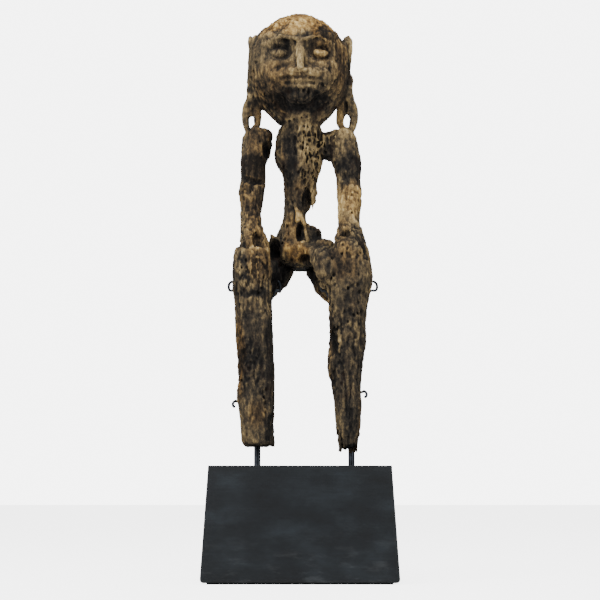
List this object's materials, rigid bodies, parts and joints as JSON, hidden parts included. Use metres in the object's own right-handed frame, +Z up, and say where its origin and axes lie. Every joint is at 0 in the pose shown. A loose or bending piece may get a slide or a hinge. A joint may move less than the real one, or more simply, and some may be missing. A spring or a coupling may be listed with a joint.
{
  "type": "carved ancestor figure on a stand",
  "caption": "Weathered hardwood figure seated with its hands on its knees, resting in wire cradles on steel rods that rise from a tapered black block.",
  "frame": {"origin": "middle of the stand's underside, at the surface it stands on", "axes": "+Z up, along the longest extent; the figure looks along -Y; +X to the right of a viewer who faces it"},
  "size_m": [0.2992, 0.1894, 0.9073],
  "materials": {
    "weathered_wood": "matte",
    "black_stained_wood": "satin",
    "black_felt": "matte",
    "black_steel": "satin",
    "zinc_steel": "satin"
  },
  "bodies": {
    "stand": {"base_block": "black_stained_wood", "base_felt": "black_felt", "rod_left": "black_steel", "rod_right": "black_steel", "cradle_left": "black_steel", "cradle_right": "black_steel", "hook_left": "black_steel", "hook_right": "black_steel", "washer_left": "zinc_steel", "washer_right": "zinc_steel", "nut_left": "zinc_steel", "nut_right": "zinc_steel"},
    "figure": {"carved_figure": "weathered_wood"}
  },
  "joints": [
    {"name": "figure_lift_off", "type": "slide", "parent": "stand", "child": "figure", "axis": [0, 0, 1], "range_m": [0, 0.105]}
  ]
}
